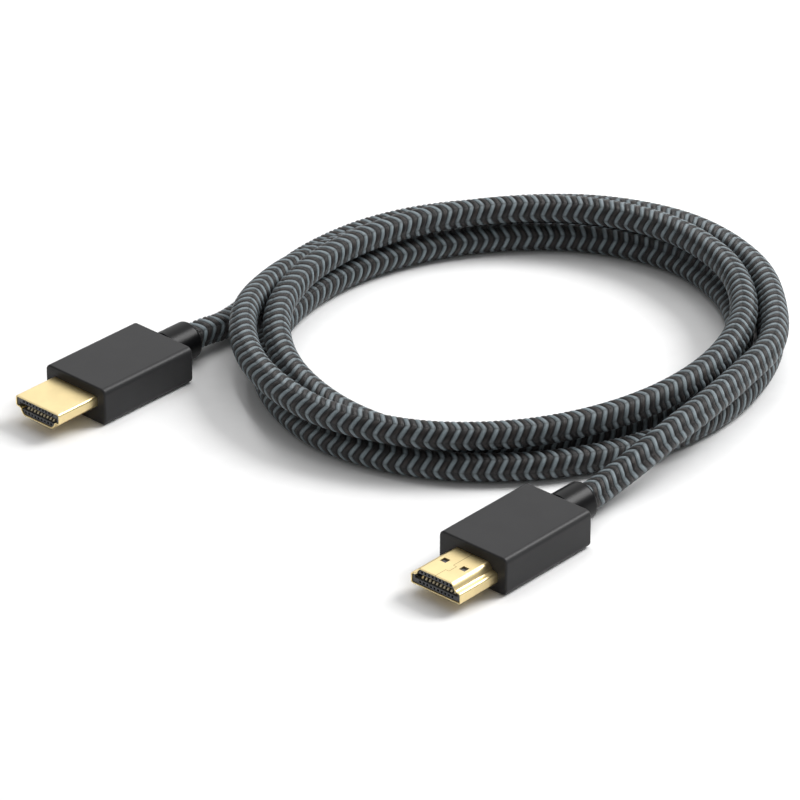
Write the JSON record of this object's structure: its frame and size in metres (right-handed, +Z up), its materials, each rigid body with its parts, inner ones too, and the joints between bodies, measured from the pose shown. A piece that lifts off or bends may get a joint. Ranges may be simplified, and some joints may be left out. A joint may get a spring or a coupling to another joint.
{
  "type": "digital video cable",
  "caption": "Coiled braided digital video cable with a flat keyed plug on each end, each in a moulded housing with a round strain relief.",
  "frame": {"origin": "on the surface that the cable lies on, below the middle of the box around the two plugs", "axes": "+Z up from the surface; +X to the right and +Y away from the viewer as the coil is seen from the plugs' side"},
  "size_m": [0.173, 0.1815, 0.015],
  "materials": {
    "braid": "two-tone woven yarn sleeve in chevrons, matt",
    "moulding": "fine matt black moulding",
    "relief": "soft black, satin",
    "plating": "pale gold plating, smooth",
    "insulator": "dark grey moulding",
    "contact": "gold plating, smooth"
  },
  "bodies": {
    "root": {"cable": "braid", "plug_a_housing": "moulding", "plug_a_collar": "relief", "plug_a_shell": "plating", "plug_a_insulator": "insulator", "plug_a_contact_01": "contact", "plug_a_contact_02": "contact", "plug_a_contact_03": "contact", "plug_a_contact_04": "contact", "plug_a_contact_05": "contact", "plug_a_contact_06": "contact", "plug_a_contact_07": "contact", "plug_a_contact_08": "contact", "plug_a_contact_09": "contact", "plug_a_contact_10": "contact", "plug_a_contact_11": "contact", "plug_a_contact_12": "contact", "plug_a_contact_13": "contact", "plug_a_contact_14": "contact", "plug_a_contact_15": "contact", "plug_a_contact_16": "contact", "plug_a_contact_17": "contact", "plug_a_contact_18": "contact", "plug_a_contact_19": "contact", "plug_b_housing": "moulding", "plug_b_collar": "relief", "plug_b_shell": "plating", "plug_b_insulator": "insulator", "plug_b_contact_01": "contact", "plug_b_contact_02": "contact", "plug_b_contact_03": "contact", "plug_b_contact_04": "contact", "plug_b_contact_05": "contact", "plug_b_contact_06": "contact", "plug_b_contact_07": "contact", "plug_b_contact_08": "contact", "plug_b_contact_09": "contact", "plug_b_contact_10": "contact", "plug_b_contact_11": "contact", "plug_b_contact_12": "contact", "plug_b_contact_13": "contact", "plug_b_contact_14": "contact", "plug_b_contact_15": "contact", "plug_b_contact_16": "contact", "plug_b_contact_17": "contact", "plug_b_contact_18": "contact", "plug_b_contact_19": "contact"}
  },
  "joints": []
}
